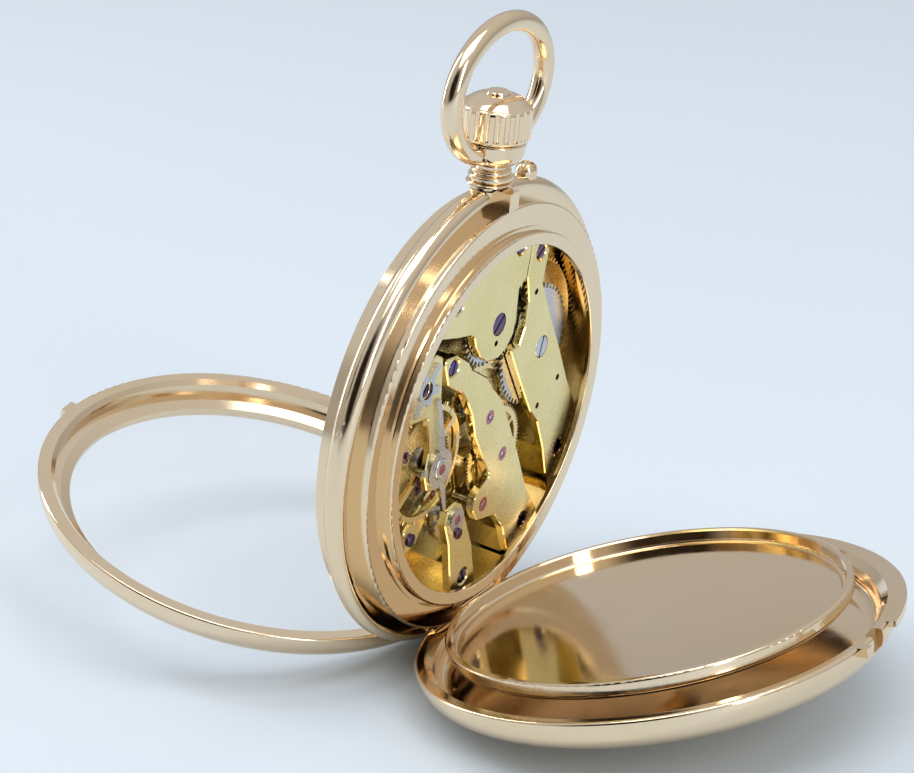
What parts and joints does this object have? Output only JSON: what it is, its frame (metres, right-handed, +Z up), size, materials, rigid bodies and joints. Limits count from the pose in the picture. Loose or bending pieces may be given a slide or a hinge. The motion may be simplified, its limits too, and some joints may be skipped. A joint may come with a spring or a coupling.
{
  "type": "pocket watch",
  "caption": "Open-face pocket watch standing open: stem-wound lever movement in a round case with hinged glazed bezel, hinged back and inner cover, crown and bow.",
  "frame": {"origin": "middle of the object's footprint, on the surface it stands on", "axes": "+Z up, through the pendant apart from a five degree lean; +Y out of the back of the case; +X along the cover hinges"},
  "size_m": [0.0502, 0.098, 0.0687],
  "materials": {
    "rose_gold": "polished",
    "gilt_brass": "satin",
    "wheel_brass": "polished",
    "steel": "polished",
    "blued_steel": "heat-blued",
    "ruby": "polished",
    "enamel": "gloss",
    "crystal_glass": "clear"
  },
  "bodies": {
    "case": {"case_middle": "rose_gold", "pendant": "rose_gold", "hinge_pins": "rose_gold", "pusher_guard": "rose_gold", "case_screws": "steel", "main_plate": "gilt_brass", "barrel_bridge": "gilt_brass", "ratchet_bridge": "gilt_brass", "train_bridge": "gilt_brass", "escape_cock": "gilt_brass", "escape_cap": "steel", "pallet_cock": "gilt_brass", "balance_cock": "gilt_brass", "hairspring_stud": "steel", "regulator_cap": "steel", "micrometer_plate": "steel", "bridge_screws": "blued_steel", "cock_screws": "blued_steel", "jewels": "ruby", "dial": "enamel", "click_spring": "steel"},
    "bow": {"bow": "rose_gold"},
    "bezel": {"bezel": "rose_gold", "crystal": "crystal_glass"},
    "back_cover": {"back_cover": "rose_gold"},
    "cuvette": {"cuvette": "rose_gold"},
    "winding": {"crown": "rose_gold", "winding_stem": "steel", "winding_pinion": "steel", "sliding_clutch": "steel"},
    "crown_wheel": {"crown_wheel": "steel"},
    "ratchet": {"ratchet_wheel": "steel", "ratchet_screw": "steel", "barrel_arbor": "steel"},
    "barrel": {"barrel": "gilt_brass", "barrel_cover": "gilt_brass", "mainspring": "steel"},
    "click": {"click": "steel"},
    "centre": {"centre_wheel": "wheel_brass", "centre_pinion": "steel", "cannon_pinion": "steel", "minute_hand": "blued_steel"},
    "minute_wheel": {"minute_wheel": "wheel_brass"},
    "hour": {"hour_wheel": "wheel_brass", "hour_hand": "blued_steel"},
    "third": {"third_wheel": "wheel_brass", "third_pinion": "steel"},
    "fourth": {"fourth_wheel": "wheel_brass", "fourth_pinion": "steel", "seconds_hand": "blued_steel"},
    "escape": {"escape_wheel": "steel", "escape_pinion": "steel"},
    "pallet": {"pallet_fork": "steel", "pallet_stones": "ruby"},
    "balance": {"balance_wheel": "wheel_brass", "balance_screws": "wheel_brass", "balance_staff": "steel", "hairspring": "blued_steel"},
    "pusher": {"setting_pusher": "rose_gold"},
    "regulator": {"regulator": "steel"}
  },
  "joints": [
    {"name": "back_hinge", "type": "hinge", "parent": "case", "child": "back_cover", "pos_m": [0, 0.00082, 0.00326], "axis": [1, 0, 0], "range_deg": [0, 72.1]},
    {"name": "cuvette_hinge", "type": "hinge", "parent": "case", "child": "cuvette", "pos_m": [0, 0.00247, 0.00543], "axis": [1, 0, 0], "range_deg": [0, 70.9]},
    {"name": "bezel_hinge", "type": "hinge", "parent": "case", "child": "bezel", "pos_m": [0, -0.00237, 0.00354], "axis": [1, 0, 0], "range_deg": [-79.2, 0]},
    {"name": "bow_swing", "type": "hinge", "parent": "case", "child": "bow", "pos_m": [0, 0.00602, 0.05513], "axis": [1, 0, 0], "range_deg": [-95, 95]},
    {"name": "crown_turn", "type": "hinge", "parent": "case", "child": "winding", "pos_m": [0, 0.00617, 0.05622], "axis": [0, 0.1323, 0.9912], "continuous": true},
    {"name": "crown_wheel_turn", "type": "hinge", "parent": "case", "child": "crown_wheel", "pos_m": [0, 0.00499, 0.03681], "axis": [0, 0.9912, -0.1323], "continuous": true},
    {"name": "ratchet_turn", "type": "hinge", "parent": "case", "child": "ratchet", "pos_m": [-0.0095, 0.00425, 0.03125], "axis": [0, 0.9912, -0.1323], "continuous": true},
    {"name": "click_swing", "type": "hinge", "parent": "case", "child": "click", "pos_m": [-0.00315, 0.00559, 0.04127], "axis": [0, 0.9912, -0.1323], "range_deg": [0, 5]},
    {"name": "seconds_turn", "type": "hinge", "parent": "case", "child": "fourth", "pos_m": [-0.0003, 0.00033, 0.01664], "axis": [0, 0.9912, -0.1323], "continuous": true},
    {"name": "third_turn", "type": "hinge", "parent": "case", "child": "third", "pos_m": [-0.0034, 0.0028, 0.02111], "axis": [0, 0.9912, -0.1323], "continuous": true},
    {"name": "centre_turn", "type": "hinge", "parent": "case", "child": "centre", "pos_m": [0, 0.00312, 0.02656], "axis": [0, 0.9912, -0.1323], "continuous": true},
    {"name": "barrel_turn", "type": "hinge", "parent": "case", "child": "barrel", "pos_m": [-0.0095, 0.00296, 0.03143], "axis": [0, 0.9912, -0.1323], "continuous": true},
    {"name": "escape_turn", "type": "hinge", "parent": "case", "child": "escape", "pos_m": [0.0053, 0.00095, 0.01707], "axis": [0, 0.9912, -0.1323], "continuous": true},
    {"name": "minute_wheel_turn", "type": "hinge", "parent": "case", "child": "minute_wheel", "pos_m": [0.00288, 0.00102, 0.02975], "axis": [0, 0.9912, -0.1323], "continuous": true},
    {"name": "hour_turn", "type": "hinge", "parent": "case", "child": "hour", "pos_m": [0, 0.00015, 0.02696], "axis": [0, 0.9912, -0.1323], "continuous": true},
    {"name": "pallet_swing", "type": "hinge", "parent": "case", "child": "pallet", "pos_m": [0.00716, 0.00135, 0.02006], "axis": [0, 0.9912, -0.1323], "range_deg": [-4, 4]},
    {"name": "balance_swing", "type": "hinge", "parent": "case", "child": "balance", "pos_m": [0.0101, 0.00327, 0.02463], "axis": [0, 0.9912, -0.1323], "range_deg": [-135, 135], "stiffness_Nm_per_rad": 0.0000045, "deforming": ["hairspring"]},
    {"name": "regulator_turn", "type": "hinge", "parent": "case", "child": "regulator", "pos_m": [0.0101, 0.00505, 0.02439], "axis": [0, 0.9912, -0.1323], "range_deg": [-4, 4]},
    {"name": "pusher_press", "type": "slide", "parent": "case", "child": "pusher", "axis": [0, -0.1323, -0.9912], "range_m": [0, 0.0006], "stiffness_N_per_m": 60}
  ],
  "couplings": [
    {"joint": "third_turn", "follows": "seconds_turn", "ratio": -0.13333},
    {"joint": "centre_turn", "follows": "seconds_turn", "ratio": 0.016667},
    {"joint": "barrel_turn", "follows": "seconds_turn", "ratio": -0.0020833},
    {"joint": "escape_turn", "follows": "seconds_turn", "ratio": -10},
    {"joint": "minute_wheel_turn", "follows": "seconds_turn", "ratio": -0.0055556},
    {"joint": "hour_turn", "follows": "seconds_turn", "ratio": 0.0013889},
    {"joint": "crown_wheel_turn", "follows": "crown_turn", "ratio": -0.28571},
    {"joint": "ratchet_turn", "follows": "crown_turn", "ratio": 0.20571},
    {"joint": "cuvette_hinge", "follows": "back_hinge", "ratio": 0.98336}
  ]
}
